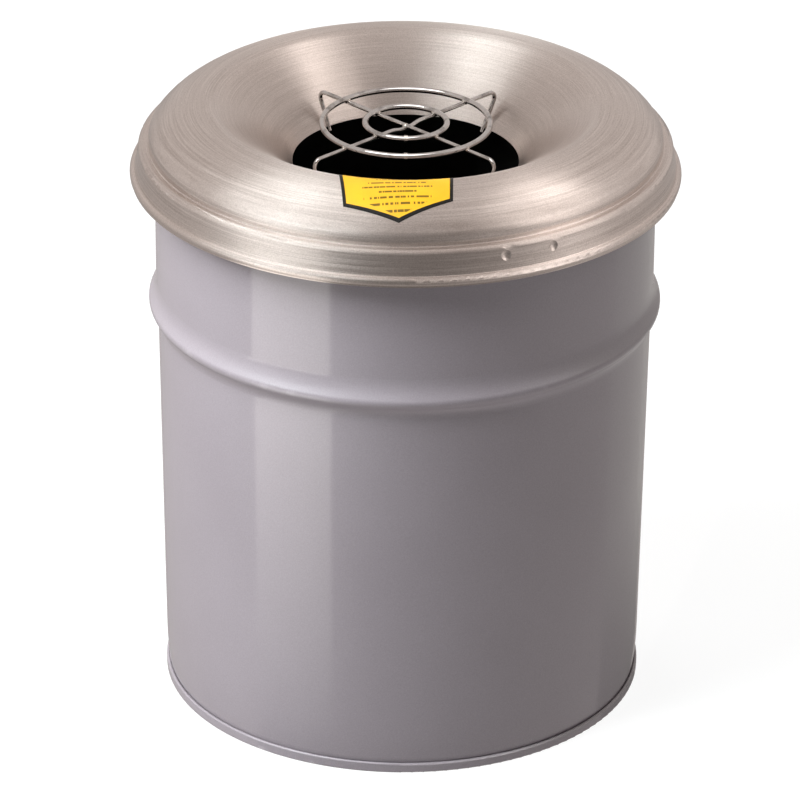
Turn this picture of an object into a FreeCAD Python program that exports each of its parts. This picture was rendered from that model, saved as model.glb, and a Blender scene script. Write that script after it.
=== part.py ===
import FreeCAD, Part
import math
import os

import Sketcher

# Fire-safe waste receptacle: a painted steel drum, a spun aluminium smothering head that rests on
# the rolled rim of the drum, and a chromed wire grille that stands in the throat of the head.
# Millimetres; origin at the middle of the base, Z up, the label faces -Y.

V = FreeCAD.Vector
os.makedirs("parts", exist_ok=True)
doc = FreeCAD.newDocument("receptacle")
sheet = doc.addObject("Spreadsheet::Sheet", "dims")

SIZES = {
    # drum: sheet, double seam at the foot, tapered wall, swaged bead, straight top, rolled rim
    "drum_sheet": 0.6,
    "seam_gap": 0.08,
    "seam_radius": 133.6,
    "seam_height": 5.8,
    "seam_bend": 1.0,
    "hook_top": 4.6,
    "cover_hook_end": 2.2,
    "floor_height": 8.0,
    "floor_bend": 2.0,
    "neck_start": 5.0,
    "foot_radius": 132.2,
    "foot_height": 8.0,
    "neck_arc": 250.0,
    "lower_radius": 133.28,
    "lower_height": 28.0,
    "waist_radius": 136.15,
    "bead_height": 229.0,
    "bead_radius": 141.3,
    "bead_nose": 4.0,
    "bead_blend_under": 10.0,
    "bead_blend_over": 19.0,
    "upper_radius": 137.3,
    "curl_radius": 3.9,
    "curl_top": 319.6,
    "curl_end_angle": 50.0,
    # welded side seam at the back of the drum
    "side_weld_lift": 0.03,
    "side_weld_height": 0.25,
    "side_weld_angle": 1.4,
    "side_weld_top": 310.5,
    # head: rim bead, skirt, ledge, crown and funnel, all on the outer face of the sheet
    "head_sheet": 1.2,
    "rim_centre_radius": 148.3,
    "rim_centre_height": 304.6,
    "rim_nose": 2.7,
    "rim_tuck_angle": 45.0,
    "rim_bottom": 301.9,
    "rim_crease": 0.7,
    "skirt_low_radius": 148.2,
    "skirt_top_radius": 146.4,
    "skirt_top_height": 318.0,
    "skirt_bend": 3.0,
    "ledge_height": 321.0,
    "ledge_crease": 0.8,
    "crown_radius": 107.5,
    "crown_height": 343.85,
    "crown_arc": 39.9,
    "crown_turn": 52.0,
    "shoulder_arc": 8.3,
    "lip_arc": 10.5,
    "lip_turn": 28.4,
    "funnel_arc": 140.0,
    "funnel_turn": 49.9,
    # pressed dimples that centre the head on the rolled rim
    "dimple_height": 316.0,
    "dimple_ball": 5.5,
    "dimple_depth": 0.9,
    "dimple_skirt": 146.9,
    "dimple_first": 21.3,
    "dimple_second": 32.2,
    # warning label on the crown
    "label_lift": 0.03,
    "label_film": 0.2,
    "label_foot_width": 57.9,
    "label_head_width": 61.0,
    "label_side": 30.0,
    "label_tip": 11.3,
    "label_shift": 3.8,
    "label_reach": 124.0,
    "label_tilt": 2.6,
    "label_funnel_turn": 40.0,
    # wire grille
    "ring_wire": 3.2,
    "cross_wire": 2.4,
    "weld_set_down": 1.0,
    "ring_height": 331.5,
    "outer_ring_radius": 46.0,
    "inner_ring_radius": 22.3,
    "lower_reach": 65.5,
    "lower_lean": 29.3,
    "upper_reach": 63.5,
    "upper_lean": 22.9,
    "corner_bend": 3.5,
    "foot_end": 308.0,
    "joggle_inner": 2.0,
    "joggle_outer": 12.0,
    "nugget": 2.05,
    "nugget_clear": 0.03,
    "butt_weld": 2.0,
    "butt_weld_width": 2.0,
}
for row, (alias, number) in enumerate(SIZES.items(), start=1):
    sheet.set(f"A{row}", alias)
    sheet.set(f"B{row}", str(number))
    sheet.setAlias(f"B{row}", alias)
doc.recompute()


class Size:
    """A size kept both as a formula on the sheet and as its present value."""

    def __init__(self, formula, value):
        self.formula = formula
        self.value = value

    def join(self, sign, other, value):
        return Size(f"({self.formula} {sign} {size(other).formula})", value)

    def __add__(self, other):
        return self.join("+", other, self.value + size(other).value)

    def __sub__(self, other):
        return self.join("-", other, self.value - size(other).value)

    def __mul__(self, other):
        return self.join("*", other, self.value * size(other).value)

    def __truediv__(self, other):
        return self.join("/", other, self.value / size(other).value)


def size(thing):
    """A sheet entry by its name, a plain number, or a Size as it is."""
    if isinstance(thing, Size):
        return thing
    if isinstance(thing, str):
        return Size(f"dims.{thing}", float(SIZES[thing]))
    return Size(f"{thing}", float(thing))


def sine(angle):
    angle = size(angle)
    return Size(f"sin({angle.formula})", math.sin(math.radians(angle.value)))


def cosine(angle):
    angle = size(angle)
    return Size(f"cos({angle.formula})", math.cos(math.radians(angle.value)))


def root(number):
    return Size(f"sqrt({number.formula})", math.sqrt(number.value))


def around(centre, radius, angle):
    """Point on a circle; the angle turns from +X towards +Z."""
    return centre[0] + size(radius) * cosine(angle), centre[1] + size(radius) * sine(angle)


def arc_between(start, end, radius, turn):
    """Short arc of a radius from start to end; turn is +1 anticlockwise, -1 clockwise."""
    a, b = V(*start, 0), V(*end, 0)
    half = (b - a) * 0.5
    side = V(-half.y, half.x, 0).normalize()
    centre = a + half + side * (turn * math.sqrt(max(radius ** 2 - half.Length ** 2, 0)))
    circle = Part.Circle(centre, V(0, 0, 1), radius)
    first, last = circle.parameter(a), circle.parameter(b)
    return Part.ArcOfCircle(circle, *((first, last) if turn > 0 else (last, first)))


FRONT = FreeCAD.Rotation(V(1, 0, 0), 90)          # sketch x, y -> model X, Z
FLAT = FreeCAD.Rotation()


def outline(name, start, steps, turned=FRONT, closed=False):
    """Sketch of joined lines and arcs whose corner points and radii follow the sheet.

    A step is (point,) for a line or (point, radius, turn) for an arc of less than half a circle.
    """
    sketch = doc.addObject("Sketcher::SketchObject", name)
    sketch.Placement = FreeCAD.Placement(V(0, 0, 0), turned)
    bound = []

    def bind(kind, *where_and_size):
        *where, amount = where_and_size
        index = sketch.addConstraint(Sketcher.Constraint(kind, *where, amount.value))
        bound.append((index, amount.formula))

    def pin(geometry, end, point):
        for kind, amount, axis in (("DistanceX", point[0], -2), ("DistanceY", point[1], -1)):
            if amount.value == 0:
                sketch.addConstraint(Sketcher.Constraint("PointOnObject", geometry, end, axis))
            elif amount.value < 0:
                flipped = Size(f"-({amount.formula})", -amount.value)
                bind(kind, geometry, end, -1, 1, flipped)
            else:
                bind(kind, -1, 1, geometry, end, amount)

    here, came_from, first = start, None, None
    for step in steps:
        point = step[0]
        a, b = (here[0].value, here[1].value), (point[0].value, point[1].value)
        if len(step) == 1:
            geometry = sketch.addGeometry(Part.LineSegment(V(*a, 0), V(*b, 0)), False)
            tail, head = 1, 2
        else:
            radius = size(step[1])
            geometry = sketch.addGeometry(arc_between(a, b, radius.value, step[2]), False)
            tail, head = (1, 2) if step[2] > 0 else (2, 1)
            bind("Radius", geometry, radius)
        if came_from:
            sketch.addConstraint(Sketcher.Constraint("Coincident", *came_from, geometry, tail))
        else:
            pin(geometry, tail, here)
            first = (geometry, tail)
        if closed and step is steps[-1]:
            sketch.addConstraint(Sketcher.Constraint("Coincident", geometry, head, *first))
        else:
            pin(geometry, head, point)
        here, came_from = point, (geometry, head)
    for index, formula in bound:
        sketch.setExpression(f"Constraints[{index}]", formula)
    return sketch


def thicken(name, source, thickness, fill=True):
    """Offset of an outline to the left of its travel; with fill it is the cut section of the sheet."""
    skin = doc.addObject("Part::Offset2D", name)
    skin.Source, skin.Mode, skin.Fill = source, "Skin", fill
    skin.setExpression("Value", size(thickness).formula)
    return skin


def spin(name, section, angle=360):
    """Section turned about the Z axis."""
    turned = doc.addObject("Part::Revolution", name)
    turned.Source, turned.Axis, turned.Base = section, V(0, 0, 1), V(0, 0, 0)
    turned.Solid = True
    turned.Angle = 360
    if angle != 360:
        turned.setExpression("Angle", size(angle).formula)
    return turned


def place(thing, x=0, y=0, z=0, axis=V(0, 0, 1), angle=0):
    """Position bound to the sheet, with an optional turn."""
    thing.Placement = FreeCAD.Placement(V(0, 0, 0), FreeCAD.Rotation(axis, angle))
    for letter, amount in (("x", x), ("y", y), ("z", z)):
        thing.setExpression(f"Placement.Base.{letter}", size(amount).formula)
    return thing


def ball(name, radius, **where):
    sphere = doc.addObject("Part::Sphere", name)
    sphere.setExpression("Radius", size(radius).formula)
    return place(sphere, **where)


def hoop(name, radius, thick, z):
    """Ring of round wire lying flat."""
    torus = doc.addObject("Part::Torus", name)
    torus.setExpression("Radius1", size(radius).formula)
    torus.setExpression("Radius2", size(thick).formula)
    return place(torus, z=z)


def cut(name, base, tool):
    result = doc.addObject("Part::Cut", name)
    result.Base, result.Tool = base, tool
    return result


def joined(name, shapes):
    result = doc.addObject("Part::MultiFuse", name)
    result.Shapes = shapes
    return result


NODES = {}


def node(label, thing):
    thing.Label = label
    NODES[label] = thing


# ---------------------------------------------------------------- drum
t, g = size("drum_sheet"), size("seam_gap")
chuck = size("seam_radius") - t * 5 - g * 4       # inner face of the seam
wall_in_seam = chuck + g + t * 2                  # outer face of the wall inside the seam
hook_face = wall_in_seam + g * 2 + t              # inner face of the body hook
cover_face = wall_in_seam + g                     # inner face of the cover hook
body_bend = (hook_face - wall_in_seam) / 2
body_bend_height = t * 2 + g + body_bend

nose_centre = (size("bead_radius") - "bead_nose", size("bead_height"))


def bead_blend(wall_radius, blend, side):
    """Height where a blend leaves the wall and the point where it meets the nose of the bead."""
    away = size(blend) + wall_radius - nose_centre[0]
    reach = size("bead_nose") + blend
    rise = root(reach * reach - away * away)
    share = size("bead_nose") / reach
    meet = (nose_centre[0] + away * share, nose_centre[1] + rise * share * side)
    return nose_centre[1] + rise * side, meet


under_height, under_meet = bead_blend("waist_radius", "bead_blend_under", -1)
over_height, over_meet = bead_blend("upper_radius", "bead_blend_over", 1)
wall = [
    ((size("lower_radius"), size("lower_height")), "neck_arc", 1),
    ((size("waist_radius"), under_height),),
    (under_meet, "bead_blend_under", -1),
    (over_meet, "bead_nose", 1),
    ((size("upper_radius"), over_height), "bead_blend_over", -1),
]

curl_inside = size("curl_radius") - t
curl_centre = (size("upper_radius") + curl_inside, size("curl_top") - "curl_radius")
hook_tip = (hook_face, size("hook_top"))
foot = (size("foot_radius"), size("foot_height"))
shell_line = outline("drum_shell_line", hook_tip, [
    ((hook_face, body_bend_height),),
    ((hook_face - body_bend, body_bend_height - body_bend), body_bend, -1),
    ((wall_in_seam, body_bend_height), body_bend, -1),
    ((wall_in_seam, size("neck_start")),),
    (foot,),
    *wall,
    ((size("upper_radius"), curl_centre[1]),),
    (around(curl_centre, curl_inside, 90), curl_inside, -1),
    (around(curl_centre, curl_inside, 0), curl_inside, -1),
    (around(curl_centre, curl_inside, size(0) - 90 - "curl_end_angle"), curl_inside, -1),
])
node("drum_shell", spin("drum_shell", thicken("drum_shell_section", shell_line, t)))

# pan pressed from sheet; its edge wraps the wall in the double seam
floor_edge = chuck - t
cover_bend = (t * 3 + g * 2) / 2
cover_centre_height = size("seam_height") - cover_bend
bottom_line = outline("drum_bottom_line", (size(0), size("floor_height")), [
    ((floor_edge - "floor_bend", size("floor_height")),),
    ((floor_edge, size("floor_height") - "floor_bend"), "floor_bend", -1),
    ((floor_edge, size("seam_bend")),),
    ((floor_edge + "seam_bend", size(0)), "seam_bend", 1),
    ((size("seam_radius") - "seam_bend", size(0)),),
    ((size("seam_radius"), size("seam_bend")), "seam_bend", 1),
    ((size("seam_radius"), cover_centre_height),),
    ((cover_face + cover_bend, size("seam_height")), cover_bend, 1),
    ((cover_face, cover_centre_height), cover_bend, 1),
    ((cover_face, size("cover_hook_end")),),
])
node("drum_bottom", spin("drum_bottom", thicken("drum_bottom_section", bottom_line, t)))

# sealing compound fills the pocket below the tip of the cover hook
rest = g / 2
compound_line = outline("seam_compound_line", (wall_in_seam + rest, size("cover_hook_end") - rest), [
    ((wall_in_seam + rest, body_bend_height),),
    ((wall_in_seam + body_bend, body_bend_height - body_bend + rest), body_bend - rest, 1),
    ((hook_face - rest, body_bend_height), body_bend - rest, 1),
    ((hook_face - rest, size("cover_hook_end") - rest),),
    ((wall_in_seam + rest, size("cover_hook_end") - rest),),
], closed=True)
node("seam_compound", spin("seam_compound", compound_line))

# welded side seam: a low strip that follows the wall at the back
seam_line = outline("side_seam_line", foot, [*wall, ((size("upper_radius"), size("side_weld_top")),)])
seam_face = thicken("side_seam_face", seam_line, size(0) - "side_weld_lift", fill=False)
seam_section = thicken("side_seam_section", seam_face, size(0) - "side_weld_height")
seam_strip = spin("side_seam_weld", seam_section, "side_weld_angle")
place(seam_strip, angle=90)
node("side_seam_weld", seam_strip)

# ---------------------------------------------------------------- head
rim_centre = (size("rim_centre_radius"), size("rim_centre_height"))
tuck = around(rim_centre, "rim_nose", size(0) - "rim_tuck_angle")
crease_reach = size("rim_nose") + "rim_crease"
crease_out = size("skirt_low_radius") + "rim_crease" - rim_centre[0]
crease_up = root(crease_reach * crease_reach - crease_out * crease_out)
crease_share = size("rim_nose") / crease_reach
crease_meet = (rim_centre[0] + crease_out * crease_share, rim_centre[1] + crease_up * crease_share)

crown_centre = (size("crown_radius"), size("crown_height") - "crown_arc")
lip_centre = (size("crown_radius"), size("crown_height") - "lip_arc")
crown_side = size(90) - "crown_turn"
lip_side = size("lip_turn") + 90
shoulder_meet = around(crown_centre, "crown_arc", crown_side)
shoulder_centre = around(crown_centre, size("crown_arc") - "shoulder_arc", crown_side)
funnel_meet = around(lip_centre, "lip_arc", lip_side)
funnel_centre = around(lip_centre, size("lip_arc") - "funnel_arc", lip_side)
hole_edge = around(funnel_centre, "funnel_arc", size("funnel_turn") + 90)
crown_top = (size("crown_radius"), size("crown_height"))
crown_foot = shoulder_centre[0] + "shoulder_arc"

head_line = outline("head_line", (tuck[0], size("rim_bottom")), [
    (tuck,),
    (around(rim_centre, "rim_nose", 0), "rim_nose", 1),
    (crease_meet, "rim_nose", 1),
    ((size("skirt_low_radius"), rim_centre[1] + crease_up), "rim_crease", -1),
    ((size("skirt_top_radius"), size("skirt_top_height")),),
    ((size("skirt_top_radius") - "skirt_bend", size("ledge_height")), "skirt_bend", 1),
    ((crown_foot + "ledge_crease", size("ledge_height")),),
    ((crown_foot, size("ledge_height") + "ledge_crease"), "ledge_crease", -1),
    ((crown_foot, shoulder_centre[1]),),
    (shoulder_meet, "shoulder_arc", 1),
    (crown_top, "crown_arc", 1),
    (funnel_meet, "lip_arc", 1),
    (hole_edge, "funnel_arc", 1),
])
plain_head = spin("plain_head", thicken("head_section", head_line, "head_sheet"))

# three pairs of dimples pressed in from outside
reach = size("dimple_skirt") - "dimple_depth" + "dimple_ball"
bumps, hollows = [], []
for turn in (0, 120, 240):
    for which in ("dimple_first", "dimple_second"):
        angle = size(which) + (turn - 90)
        spot = {"x": reach * cosine(angle), "y": reach * sine(angle), "z": "dimple_height"}
        tag = f"{which}_{turn}"
        bumps.append(ball(f"bump_{tag}", size("dimple_ball") + "head_sheet", **spot))
        hollows.append(ball(f"hollow_{tag}", "dimple_ball", **spot))

# only the part of each bump inside the middle of the sheet is kept
core = size("head_sheet") / 2
core_low = (size("skirt_low_radius") - core, rim_centre[1] + crease_up)
core_high = (size("skirt_top_radius") - core, size("skirt_top_height"))
core_line = outline("skirt_core_line", core_low, [
    (core_high,),
    ((size("crown_radius"), core_high[1]),),
    ((size("crown_radius"), core_low[1]),),
    (core_low,),
], closed=True)
inner_bumps = doc.addObject("Part::MultiCommon", "inner_bumps")
inner_bumps.Shapes = [joined("all_bumps", bumps), spin("skirt_core", core_line)]
node("head_shell", cut("head_shell", joined("bumped_head", [plain_head, inner_bumps]),
                       joined("all_hollows", hollows)))

# warning label: thin film that follows the crown and turns over its lip into the funnel
label_line = outline("label_line", shoulder_meet, [
    (crown_top, "crown_arc", 1),
    (funnel_meet, "lip_arc", 1),
    (around(funnel_centre, "funnel_arc", size("label_funnel_turn") + 90), "funnel_arc", 1),
])
label_face = thicken("label_face", label_line, size(0) - "label_lift", fill=False)
label_ring = spin("label_ring", thicken("label_section", label_face, size(0) - "label_film"))
half_foot = size("label_foot_width") / 2
half_head = size("label_head_width") / 2
label_sketch = outline("label_outline", (size(0) - half_head, size("label_side")), [
    ((size(0) - half_foot, size(0)),),
    ((size(0), size(0) - "label_tip"),),
    ((half_foot, size(0)),),
    ((half_head, size("label_side")),),
    ((size(0) - half_head, size("label_side")),),
], turned=FLAT, closed=True)
label_block = doc.addObject("Part::Extrusion", "label_block")
label_block.Base, label_block.DirMode, label_block.Dir = label_sketch, "Custom", V(0, 0, 1)
label_block.Solid = True
label_block.setExpression("LengthFwd", "dims.crown_height + dims.label_side")
place(label_block, x=size(0) - "label_shift", y=size(0) - "label_reach")
label_block.setExpression("Placement.Rotation.Angle", "dims.label_tilt")
label = doc.addObject("Part::MultiCommon", "label")
label.Shapes = [label_ring, label_block]
node("label", label)

# ---------------------------------------------------------------- grille
ring_half, cross_half = size("ring_wire") / 2, size("cross_wire") / 2
ring_z = size("ring_height")
cross_z = ring_z - ring_half - cross_half + "weld_set_down"
dip_z = cross_z - "cross_wire" + "weld_set_down"
clear_ring, clear_cross = ring_half + "nugget_clear", cross_half + "nugget_clear"
corners = {"front_left": -135, "front_right": -45, "rear_left": 135, "rear_right": 45}


def mirrored(point):
    return size(0) - point[0], point[1]


def straight(name, direction, radius, z):
    """Plain rod through the axis, the shape that weld metal and wires leave free for a cross wire."""
    half = size("outer_ring_radius") + 10
    rod = doc.addObject("Part::Cylinder", name)
    rod.setExpression("Radius", radius.formula)
    rod.setExpression("Height", (half * 2).formula)
    sideways = V(-math.sin(math.radians(direction)), math.cos(math.radians(direction)), 0)
    return place(rod, x=size(0) - half * cosine(direction), y=size(0) - half * sine(direction), z=z,
                 axis=sideways, angle=90)


def swept_wire(name, direction, reach_name, lean_name, middle_steps):
    """Wire with a leg at each end, drawn in its own upright plane and swept along it."""
    bend_centre = (size(reach_name), cross_z - "corner_bend")
    bend_end = around(bend_centre, "corner_bend", size(0) - lean_name)
    foot_run = (bend_end[1] - "foot_end") * sine(lean_name) / cosine(lean_name)
    end, top = (bend_end[0] - foot_run, size("foot_end")), (bend_centre[0], cross_z)
    path = outline(f"{name}_path", mirrored(end), [
        (mirrored(bend_end),),
        (mirrored(around(bend_centre, "corner_bend", 0)), "corner_bend", -1),
        (mirrored(top), "corner_bend", -1),
        *middle_steps,
        (top,),
        (around(bend_centre, "corner_bend", 0), "corner_bend", -1),
        (bend_end, "corner_bend", -1),
        (end,),
    ])
    path.Placement = FreeCAD.Placement(V(0, 0, 0), FreeCAD.Rotation(V(0, 0, 1), direction) * FRONT)
    circle = doc.addObject("Part::Circle", f"{name}_circle")
    circle.setExpression("Radius", cross_half.formula)
    lean = math.radians(SIZES[lean_name])
    start = path.Placement.multVec(V(mirrored(end)[0].value, end[1].value, 0))
    along = path.Placement.Rotation.multVec(V(-math.sin(lean), math.cos(lean), 0))
    circle.Placement = FreeCAD.Placement(start, FreeCAD.Rotation(V(0, 0, 1), along))
    sweep = doc.addObject("Part::Sweep", f"{name}_sweep")
    sweep.Sections, sweep.Spine = [circle], (path, [])
    sweep.Solid, sweep.Frenet = True, True
    return sweep


def set_down(name, wire, *others):
    """Cross wire with the seats that resistance welding sinks the rings and the other wire into."""
    node(name, cut(name, wire, joined(f"{name}_seats", list(others))))


# the lower wire dips under the upper one: two arcs of one radius on each side, half the drop each
drop = cross_z - dip_z
dip_run = size("joggle_outer") - "joggle_inner"
dip_middle = (size("joggle_outer") + "joggle_inner") / 2, (cross_z + dip_z) / 2
dip_bend = (dip_run * dip_run + drop * drop) / (drop * 4)
dip = [
    ((size(0) - "joggle_outer", cross_z),),
    (mirrored(dip_middle), dip_bend, -1),
    ((size(0) - "joggle_inner", dip_z), dip_bend, 1),
    ((size("joggle_inner"), dip_z),),
    (dip_middle, dip_bend, 1),
    ((size("joggle_outer"), cross_z), dip_bend, -1),
]
node("outer_ring", hoop("outer_ring", "outer_ring_radius", ring_half, ring_z))
node("inner_ring", hoop("inner_ring", "inner_ring_radius", ring_half, ring_z))
outer_seat = hoop("outer_seat", "outer_ring_radius", clear_ring, ring_z)
inner_seat = hoop("inner_seat", "inner_ring_radius", clear_ring, ring_z)
upper_rod = straight("upper_rod", -45, clear_cross, cross_z)
lower_rod = straight("lower_rod", 45, clear_cross, cross_z)
dipped_rod = straight("dipped_rod", 45, clear_cross, dip_z)
set_down("lower_cross_wire", swept_wire("lower", 45, "lower_reach", "lower_lean", dip),
         outer_seat, inner_seat, upper_rod)
set_down("upper_cross_wire", swept_wire("upper", -45, "upper_reach", "upper_lean", []),
         outer_seat, inner_seat)

for ring, seat in (("outer", outer_seat), ("inner", inner_seat)):
    radius = size(f"{ring}_ring_radius")
    for corner, angle in corners.items():
        name = f"{ring}_weld_{corner}"
        blob = ball(f"{name}_metal", "nugget", x=radius * cosine(angle), y=radius * sine(angle),
                    z=(ring_z + cross_z) / 2)
        rod = lower_rod if angle in (45, -135) else upper_rod
        node(name, cut(name, cut(f"{name}_trimmed", blob, seat), rod))
    # upset metal of the butt joint, a short collar round the ring at the front
    collar = doc.addObject("Part::Cylinder", f"{ring}_collar")
    collar.setExpression("Radius", "dims.butt_weld")
    collar.setExpression("Height", "dims.butt_weld_width")
    place(collar, x=size(0) - size("butt_weld_width") / 2, y=size(0) - radius, z=ring_z,
          axis=V(0, 1, 0), angle=90)
    node(f"{ring}_ring_joint_weld", cut(f"{ring}_ring_joint_weld", collar, seat))

centre_blob = ball("centre_weld_metal", "nugget", z=(cross_z + dip_z) / 2)
node("centre_weld", cut("centre_weld", cut("centre_weld_trimmed", centre_blob, upper_rod), dipped_rod))

# ---------------------------------------------------------------- check and export
doc.recompute()
for thing in doc.Objects:
    if {"Invalid", "Error"} & set(thing.State):
        raise RuntimeError(f"{thing.Name} is {thing.State}")
    if thing is not sheet and (thing.Shape.isNull() or not thing.Shape.isValid()):
        raise RuntimeError(f"{thing.Name} has no valid shape")
for label, thing in NODES.items():
    if len(thing.Shape.Solids) != 1:
        raise RuntimeError(f"{label} has {len(thing.Shape.Solids)} solids")
    thing.Shape.exportStep(f"parts/{label}.step")
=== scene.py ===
import math

import bpy
from mathutils import Matrix, Vector

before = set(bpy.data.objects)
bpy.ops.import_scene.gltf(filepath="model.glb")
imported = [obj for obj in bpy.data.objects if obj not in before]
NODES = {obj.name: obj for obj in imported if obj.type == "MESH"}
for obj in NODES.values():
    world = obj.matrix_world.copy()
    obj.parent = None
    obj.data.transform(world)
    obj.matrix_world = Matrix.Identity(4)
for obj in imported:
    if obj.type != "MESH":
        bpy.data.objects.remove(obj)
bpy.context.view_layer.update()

# Looks of the fire-safe waste receptacle: painted steel drum, spun aluminium head, plated wire grille.
# Lengths are metres in the part's own frame. Angles are degrees, apart from the camera's.

SCENE = bpy.context.scene
WIRES = ["outer_ring", "inner_ring", "lower_cross_wire", "upper_cross_wire"]
WELDS = [name for name in NODES if "weld" in name and name != "side_seam_weld"]
GRILLE = WIRES + WELDS


# ------------------------------------------------------------------ shader helpers
class Shader:
    """The node tree of a material or a world, with short ways to add and join nodes."""

    def __init__(self, name, library=bpy.data.materials, surface="Principled BSDF"):
        self.owner = library.new(name)
        self.owner.use_nodes = True
        self.tree = self.owner.node_tree
        self.surface = self.tree.nodes[surface]

    def node(self, kind, **settings):
        made = self.tree.nodes.new(kind)
        for key, value in settings.items():
            setattr(made, key, value)
        return made

    def feed(self, socket, value):
        """Joins an output to an input, or sets the input to a constant."""
        if isinstance(value, bpy.types.NodeSocket):
            self.tree.links.new(value, socket)
        else:
            socket.default_value = value

    def constants(self, **values):
        """Numbers and colours that are the same all over, set on the surface's own sockets."""
        for key, value in values.items():
            self.surface.inputs[key.replace("_", " ")].default_value = value

    def math(self, operation, *terms, clamp=False):
        made = self.node("ShaderNodeMath", operation=operation, use_clamp=clamp)
        for socket, term in zip(made.inputs, terms):
            self.feed(socket, term)
        return made.outputs[0]

    def vector_math(self, operation, *terms):
        made = self.node("ShaderNodeVectorMath", operation=operation)
        for socket, term in zip(made.inputs, terms):
            self.feed(socket, term)
        return made.outputs["Value" if operation in ("DOT_PRODUCT", "LENGTH") else "Vector"]

    def place(self):
        return self.node("ShaderNodeTexCoord").outputs["Object"]

    def parts(self, vector):
        split = self.node("ShaderNodeSeparateXYZ")
        self.feed(split.inputs[0], vector)
        return split.outputs

    def combine(self, x, y, z):
        made = self.node("ShaderNodeCombineXYZ")
        for socket, term in zip(made.inputs, (x, y, z)):
            self.feed(socket, term)
        return made.outputs[0]

    def noise(self, vector, scale, detail=2.0, rough=0.5):
        made = self.node("ShaderNodeTexNoise")
        for name, value in (("Vector", vector), ("Scale", scale), ("Detail", detail), ("Roughness", rough)):
            self.feed(made.inputs[name], value)
        return made.outputs["Fac"]

    def remap(self, value, low, high, new_low=0.0, new_high=1.0):
        made = self.node("ShaderNodeMapRange")
        for name, term in (("Value", value), ("From Min", low), ("From Max", high),
                           ("To Min", new_low), ("To Max", new_high)):
            self.feed(made.inputs[name], term)
        return made.outputs["Result"]

    def spread(self, noise, new_low=0.0, new_high=1.0):
        """Stretches a noise, most of which lies between 0.3 and 0.7, to a range."""
        return self.remap(noise, 0.3, 0.7, new_low, new_high)

    def mix(self, amount, first, second):
        made = self.node("ShaderNodeMix", data_type="RGBA")
        # the colour sockets go by place, because sockets for other kinds of data share their names
        colour_a, colour_b = made.inputs[6], made.inputs[7]
        for socket, value in ((made.inputs["Factor"], amount), (colour_a, first), (colour_b, second)):
            self.feed(socket, value)
        return made.outputs[2]

    def bump(self, height, distance, strength=1.0, base=None):
        made = self.node("ShaderNodeBump")
        self.feed(made.inputs["Height"], height)
        made.inputs["Distance"].default_value = distance
        made.inputs["Strength"].default_value = strength
        if base is not None:
            self.feed(made.inputs["Normal"], base)
        return made.outputs["Normal"]

    def set(self, name, value):
        self.feed(self.surface.inputs[name], value)


def dress(shader, *names):
    """Gives the material to CAD nodes."""
    for name in names:
        slots = NODES[name].data.materials
        slots.clear()
        slots.append(shader.owner)


def rgb(red, green, blue):
    """sRGB 0..255 to the linear colour that shaders use."""
    def linear(channel):
        part = channel / 255
        return part / 12.92 if part <= 0.04045 else ((part + 0.055) / 1.055) ** 2.4
    return (linear(red), linear(green), linear(blue), 1.0)


# ------------------------------------------------------------------ materials
def drum_paint():
    """Semi-gloss grey stoving enamel outside, and painted shade inside: the inner faces are dark and dull.
    """
    bead_flank, bead_crest = 0.1406, 0.1413          # radii
    pan_edge, past_pan = 0.1302, 0.1306              # radii
    seam_foot, seam_middle = 0.0006, 0.0030          # heights
    over_seam, under_pan = 0.0070, 0.0076            # heights
    paint = Shader("drum_paint")
    place = paint.place()
    normal = paint.node("ShaderNodeNewGeometry").outputs["Normal"]
    flat = paint.vector_math("MULTIPLY", place, (1.0, 1.0, 0.0))
    outward = paint.vector_math("DOT_PRODUCT", paint.vector_math("NORMALIZE", flat), normal)
    radius = paint.vector_math("LENGTH", flat)
    height = paint.parts(place)[2]

    cloud = paint.noise(place, 9.0, 3.0)
    grain = paint.noise(place, 1500.0, 2.0, 0.7)
    tone = paint.math("ADD", paint.spread(cloud, -0.1, 0.1), paint.spread(grain, 0.3, 0.7))
    base = paint.mix(tone, rgb(110, 100, 105), rgb(135, 126, 131))

    # knocks leave paler patches along the crest of the bead and at the foot of the seam
    crest = paint.math("MULTIPLY", paint.remap(radius, bead_flank, bead_crest), 0.3)
    foot = paint.remap(height, seam_middle, seam_foot)
    patches = paint.remap(paint.noise(place, 60.0, 4.0, 0.65), 0.58, 0.70)
    worn = paint.math("MULTIPLY", paint.math("MAXIMUM", crest, foot), patches)
    base = paint.mix(paint.math("MULTIPLY", worn, 0.6), base, rgb(176, 168, 170))

    # painted shade: above the seam, the raised floor and every face that looks inwards are painted dark and
    # dull, as deep shade
    above_seam = paint.remap(height, over_seam, under_pan)
    on_pan = paint.remap(radius, past_pan, pan_edge)
    inward = paint.remap(outward, 0.15, -0.15)
    painted_inside_shade = paint.math("MULTIPLY", paint.math("MAXIMUM", inward, on_pan), above_seam)
    # near-black colour of the painted shade inside the drum
    inside_shade_colour = paint.mix(paint.noise(place, 25.0, 5.0, 0.6), rgb(14, 14, 13), rgb(30, 30, 27))
    paint.set("Base Color", paint.mix(painted_inside_shade, base, inside_shade_colour))
    rough = paint.spread(cloud, 0.40, 0.46)
    paint.set("Roughness", paint.math("ADD", rough, paint.math("MULTIPLY", painted_inside_shade, 0.4)))
    paint.set("Coat Weight", paint.remap(painted_inside_shade, 0.0, 1.0, 0.8, 0.0))
    peel = paint.bump(paint.noise(place, 220.0, 2.0), 0.00008, 0.35)
    paint.set("Normal", paint.bump(grain, 0.00004, 0.35, peel))
    paint.constants(Coat_Roughness=0.10, Coat_IOR=1.7)
    return paint


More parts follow.
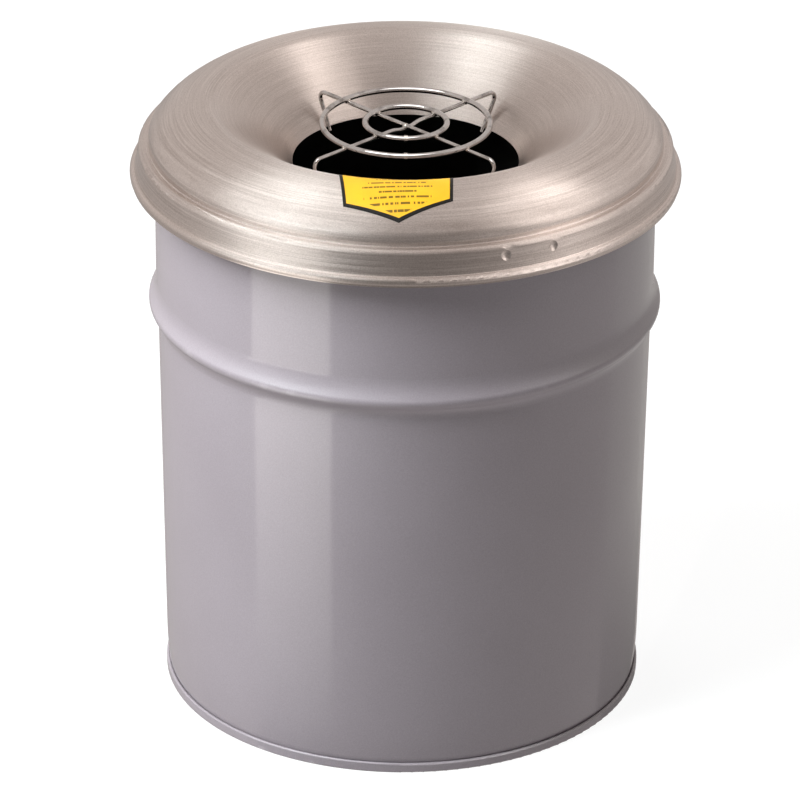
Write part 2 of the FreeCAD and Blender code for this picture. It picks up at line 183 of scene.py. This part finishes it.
def spun_metal(name, light, dark, rough):
    """Aluminium spun on a lathe: fine rings about the Z axis, across which the highlights stretch."""
    throat_side, crown = 0.072, 0.104                # radii
    metal = Shader(name)
    place = metal.place()
    _, _, height = metal.parts(place)
    flat = metal.vector_math("MULTIPLY", place, (1.0, 1.0, 0.0))
    radius = metal.vector_math("LENGTH", flat)
    ax, ay, _ = metal.parts(metal.vector_math("NORMALIZE", flat))
    # way down the profile: the radius tells it where the metal lies flat, the height where it stands up
    along = metal.math("ADD", radius, metal.math("MULTIPLY", height, 0.8))

    def rings(turn, pitch):
        """Noise that changes slowly round the axis and fast down the profile."""
        where = metal.combine(metal.math("MULTIPLY", ax, turn), metal.math("MULTIPLY", ay, turn),
                              metal.math("MULTIPLY", along, pitch))
        return metal.noise(where, 1.0, 3.0, 0.7)

    fine = rings(2.0, 3200.0)
    lathe = rings(1.0, 700.0)
    grain = metal.noise(place, 1700.0, 2.0, 0.7)
    tone = metal.math("ADD", metal.spread(fine, 0.15, 0.85), metal.spread(lathe, -0.10, 0.10))
    tone = metal.math("ADD", tone, metal.spread(grain, -0.3, 0.3), clamp=True)
    # painted shade: the metal's colour darkens towards the throat, where the funnel is shaded by itself
    throat_shade = metal.remap(radius, throat_side, crown, 0.30, 0.0)
    metal.set("Base Color", metal.mix(throat_shade, metal.mix(tone, dark, light), rgb(120, 106, 98)))
    both = metal.math("ADD", fine, lathe)
    metal.set("Roughness", metal.remap(both, 0.7, 1.3, rough - 0.03, rough + 0.03))
    groove = metal.bump(fine, 0.00003, 0.25)
    metal.set("Normal", metal.bump(lathe, 0.00003, 0.12, groove))
    metal.set("Tangent", metal.node("ShaderNodeTangent", direction_type="RADIAL", axis="Z").outputs[0])
    metal.constants(Metallic=1.0, Anisotropic=0.8, Anisotropic_Rotation=0.25)
    return metal


def plated_wire(name, tint, rough):
    """Bright plated metal, faintly uneven and dull in places."""
    wire = Shader(name)
    place = wire.place()
    dull = wire.noise(place, 90.0, 3.0, 0.6)
    wire.set("Base Color", wire.mix(wire.remap(dull, 0.50, 0.80), tint, rgb(120, 112, 106)))
    wire.set("Roughness", wire.remap(dull, 0.45, 0.8, rough, rough + 0.08))
    wire.set("Normal", wire.bump(wire.noise(place, 1100.0, 2.0), 0.00002, 0.15))
    wire.constants(Metallic=1.0)
    return wire


def seam_rubber():
    """Dull sealing compound with a slightly grainy skin."""
    rubber = Shader("seam_compound")
    grain = rubber.noise(rubber.place(), 700.0, 3.0)
    rubber.set("Base Color", rubber.mix(grain, rgb(28, 27, 26), rgb(52, 50, 48)))
    rubber.set("Roughness", rubber.spread(grain, 0.6, 0.8))
    rubber.set("Normal", rubber.bump(grain, 0.0001, 0.4))
    return rubber


def label_film():
    """Yellow film with a black edge line and rows of plain bars in place of words.

    The outline is the CAD label's: two sides that stand on shoulders, and a point below the shoulders.
    """
    tilt = math.radians(2.6)
    middle = (-0.0038, -0.1240, 0.0)                 # between the shoulders
    foot_width, head_width = 0.0579, 0.0610          # at the shoulders and at the top
    side, tip = 0.030, 0.0113                        # up to the top and down to the point
    line, blur = 0.0018, 0.0001                      # width of the edge line and its softness
    pitch, start = 0.0042, 0.05                      # of the rows, which are counted from below the point
    shortest, longest = 0.010, 0.020                 # half lengths of a row
    margin = 0.005                                   # kept clear at the point
    film = Shader("label_film")
    place = film.place()
    moved = film.vector_math("SUBTRACT", place, middle)
    across = film.vector_math("DOT_PRODUCT", moved, (math.cos(tilt), math.sin(tilt), 0.0))
    along = film.vector_math("DOT_PRODUCT", moved, (-math.sin(tilt), math.cos(tilt), 0.0))
    off_middle = film.math("ABSOLUTE", across)

    # distance in from the two sides, the top and the two slanted edges of the point
    slant = math.atan2(tip, foot_width / 2)
    half_width = film.remap(along, 0.0, side, foot_width / 2, head_width / 2)
    from_side = film.math("SUBTRACT", half_width, off_middle)
    from_top = film.math("SUBTRACT", side, along)
    lowest = film.math("SUBTRACT", film.math("MULTIPLY", off_middle, math.tan(slant)), tip)
    from_point = film.math("MULTIPLY", film.math("SUBTRACT", along, lowest), math.cos(slant))
    inset = film.math("MINIMUM", film.math("MINIMUM", from_side, from_top), from_point)
    edge = film.remap(inset, line + blur, line - blur)

    # bars: rows of short dashes, each row of its own length, shorter towards the point
    row_place = film.math("DIVIDE", film.math("ADD", along, start), pitch)
    in_pitch = film.math("FRACT", row_place)
    row = film.math("FLOOR", row_place)
    in_row = film.math("MULTIPLY", film.remap(in_pitch, 0.30, 0.34), film.remap(in_pitch, 0.68, 0.64))
    wave = film.math("SINE", film.math("MULTIPLY", row, 2.3))
    reach = film.remap(wave, -1.0, 1.0, shortest, longest)
    above_point = film.math("ADD", along, tip)
    taper = film.math("SUBTRACT", film.math("MULTIPLY", above_point, 2.0), margin)
    in_reach = film.math("LESS_THAN", off_middle, film.math("MINIMUM", reach, taper))
    dash_place = film.combine(film.math("MULTIPLY", across, 900.0), film.math("MULTIPLY", row, 7.3), 0.0)
    dashes = film.remap(film.noise(dash_place, 1.0, 0.0), 0.36, 0.42)
    bars = film.math("MULTIPLY", film.math("MULTIPLY", in_row, in_reach), dashes)

    fade = film.noise(place, 70.0, 3.0)
    yellow = film.mix(film.spread(fade), rgb(190, 140, 26), rgb(180, 131, 23))
    ink = film.mix(fade, rgb(8, 6, 4), rgb(16, 13, 10))
    printed = film.math("MAXIMUM", edge, film.math("MULTIPLY", bars, 0.8))
    film.set("Base Color", film.mix(printed, yellow, ink))
    film.set("Roughness", film.spread(fade, 0.34, 0.44))
    film.set("Normal", film.bump(film.noise(place, 240.0, 2.0), 0.00004, 0.3))
    film.constants(Specular_IOR_Level=0.2)
    return film


dress(drum_paint(), "drum_shell", "drum_bottom", "side_seam_weld")
dress(seam_rubber(), "seam_compound")
dress(spun_metal("spun_aluminium", light=rgb(233, 222, 216), dark=rgb(184, 171, 164), rough=0.31),
      "head_shell")
dress(label_film(), "label")
dress(plated_wire("plated_wire", tint=rgb(204, 199, 196), rough=0.05), *WIRES)
dress(plated_wire("weld_metal", tint=rgb(214, 206, 198), rough=0.22), *WELDS)


# ------------------------------------------------------------------ stage, lights, camera
def stage_plane(name, corners, shader):
    """Flat face through the corners, which isn't part of the object."""
    mesh = bpy.data.meshes.new(name)
    mesh.from_pydata(corners, [], [tuple(range(len(corners)))])
    plane = bpy.data.objects.new(name, mesh)
    SCENE.collection.objects.link(plane)
    plane.data.materials.append(shader.owner)
    return plane


def floor():
    """Pale floor with a glow of its own, so that the shadow on it stays faint."""
    shader = Shader("floor")
    tint = shader.noise(shader.place(), 3.0, 2.0)
    shader.set("Base Color", shader.mix(tint, rgb(90, 90, 89), rgb(94, 94, 94)))
    shader.constants(Roughness=0.7, Emission_Color=(1, 1, 1, 1), Emission_Strength=0.9)
    half = 12.0
    corners = [(-half, -half, 0), (half, -half, 0), (half, half, 0), (-half, half, 0)]
    plane = stage_plane("floor", corners, shader)
    plane.visible_glossy = False


def softbox(name, azimuth, elevation, distance, width, height, matt, gloss, colour=(1, 1, 1), only=()):
    """Rectangular light that looks at the upper drum; azimuth 0 is the front, + to the right.

    It is up to two lamps in one place: matt is the power of the one that lights plain surfaces, and
    gloss of the one that shows in gloss and metal. A list of CAD nodes keeps it to those nodes.
    """
    aim = Vector((0, 0, 0.25))
    turn, rise = math.radians(azimuth), math.radians(elevation)
    away = Vector((math.sin(turn) * math.cos(rise), -math.cos(turn) * math.cos(rise), math.sin(rise)))
    for part, power in (("matt", matt), ("gloss", gloss)):
        if not power:
            continue
        light = bpy.data.lights.new(f"{name}_{part}", "AREA")
        light.shape = "RECTANGLE"
        light.size, light.size_y = width, height
        light.energy = power
        light.color = colour
        lamp = bpy.data.objects.new(f"{name}_{part}", light)
        lamp.location = aim + away * distance
        lamp.rotation_euler = (-away).to_track_quat("-Z", "Y").to_euler()
        lamp.visible_glossy = part == "gloss"
        lamp.visible_diffuse = part == "matt"
        SCENE.collection.objects.link(lamp)
        if only:
            group = bpy.data.collections.new(f"{name}_receivers")
            for node in only:
                group.objects.link(NODES[node])
            lamp.light_linking.receiver_collection = group


def sweep_card(name, first, last, near, far, strength):
    """Bright patch of the floor, seen only in gloss: the drum shows it as an upright strip.

    The strip lies between two angles on the drum. Light that leaves the wall at an angle comes in
    from twice that angle, so each side of the patch starts just outside the foot and runs that way.
    The patch fades from the radius far to the radius near, so the strip dies away down the drum.
    """
    start_radius, length = 0.134, 0.9
    lift = Vector((0, 0, 0.001))
    shader = Shader(name)
    flat = shader.vector_math("MULTIPLY", shader.place(), (1.0, 1.0, 0.0))
    fade = shader.remap(shader.vector_math("LENGTH", flat), near, far)
    shader.constants(Base_Color=(0, 0, 0, 1), Emission_Color=(1.0, 0.96, 0.91, 1))
    shader.set("Emission Strength", shader.math("MULTIPLY", fade, strength))

    def heading(angle):
        return Vector((math.sin(math.radians(angle)), -math.cos(math.radians(angle)), 0))

    def side(angle):
        start = heading(angle) * start_radius + lift
        return start, start + heading(2 * angle) * length

    near_first, far_first = side(first)
    near_last, far_last = side(last)
    card = stage_plane(name, [near_first, far_first, far_last, near_last], shader)
    card.visible_camera = card.visible_diffuse = card.visible_shadow = False


def studio():
    """Warm grey room for the metal to mirror, darker towards the viewer's side and below."""
    world = Shader("studio", bpy.data.worlds, "Background")
    towards = world.node("ShaderNodeTexCoord").outputs["Generated"]
    _, y, z = world.parts(towards)
    room = world.remap(y, -0.95, -0.25, 0.22, 0.66)
    below = world.remap(z, -0.15, 0.05, 0.68, 1.0)
    world.set("Strength", world.math("MULTIPLY", room, below))
    world.constants(Color=(1.0, 0.935, 0.90, 1))
    SCENE.world = world.owner
    SCENE.world.cycles_visibility.diffuse = False


def camera():
    """Long lens a little over 3 m away, which looks down at the receptacle."""
    pitch, yaw, roll = 0.4546, -0.0007, 0.0078        # radians: down, to the right, anticlockwise
    data = bpy.data.cameras.new("camera")
    data.sensor_width = 36.0
    data.lens = 268.4
    data.clip_end = 60.0
    eye = bpy.data.objects.new("camera", data)
    eye.matrix_world = (Matrix.Translation((0.0, -2.9897, 1.6242))
                        @ Matrix.Rotation(-yaw, 4, "Z")
                        @ Matrix.Rotation(math.pi / 2 - pitch, 4, "X")
                        @ Matrix.Rotation(roll, 4, "Z"))
    SCENE.collection.objects.link(eye)
    SCENE.camera = eye


floor()
# the key makes the bright fans at the front left and rear right of the head, the fill the other two
softbox("key_left", azimuth=-62, elevation=48, distance=1.6, width=0.9, height=1.1,
        matt=86, gloss=74, colour=(0.89, 0.98, 1.0))
softbox("fill_right", azimuth=80, elevation=45, distance=1.9, width=0.5, height=1.0,
        matt=6, gloss=31, colour=(1.0, 0.97, 0.94))
softbox("back_fill", azimuth=-150, elevation=40, distance=2.2, width=1.2, height=0.8, matt=22, gloss=0)
softbox("low_left", azimuth=-98, elevation=6, distance=1.3, width=0.5, height=0.3, matt=5, gloss=0)
softbox("wire_glint", azimuth=-30, elevation=72, distance=1.5, width=1.3, height=1.3,
        matt=0, gloss=14, only=GRILLE)
studio()
sweep_card("card_left", first=-37, last=-17, near=0.12, far=0.50, strength=1.9)
sweep_card("card_right", first=57, last=82, near=0.05, far=0.30, strength=0.45)
camera()
SCENE.view_settings.view_transform = "Standard"
